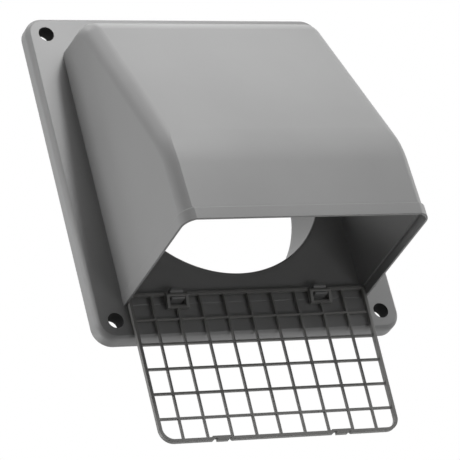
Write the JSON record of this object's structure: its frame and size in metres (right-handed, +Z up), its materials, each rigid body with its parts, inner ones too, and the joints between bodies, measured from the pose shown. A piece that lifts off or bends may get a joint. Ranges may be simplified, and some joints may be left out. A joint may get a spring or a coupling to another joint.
{
  "type": "wall exhaust vent",
  "caption": "Moulded plastic exhaust hood for an outside wall, with a round duct collar behind its screw-down base and a grid bird guard hinged at its downward mouth.",
  "frame": {"origin": "on the duct collar's axis, in the plane of the wall, which is the rim of the base's open back", "axes": "+X to the right of someone facing the wall, +Y into the wall along the collar, +Z up"},
  "size_m": [0.1424, 0.1001, 0.2052],
  "materials": {
    "hood_plastic": "fine matt moulded grey, slightly satin",
    "guard_plastic": "matt moulded grey, darker than the hood"
  },
  "bodies": {
    "hood": {"hood": "hood_plastic"},
    "guard": {"guard": "guard_plastic"}
  },
  "joints": [
    {"name": "guard_hinge", "type": "hinge", "parent": "hood", "child": "guard", "pos_m": [0, -0.0107, -0.06065], "axis": [-1, 0, 0], "range_deg": [0, 93.6]}
  ]
}
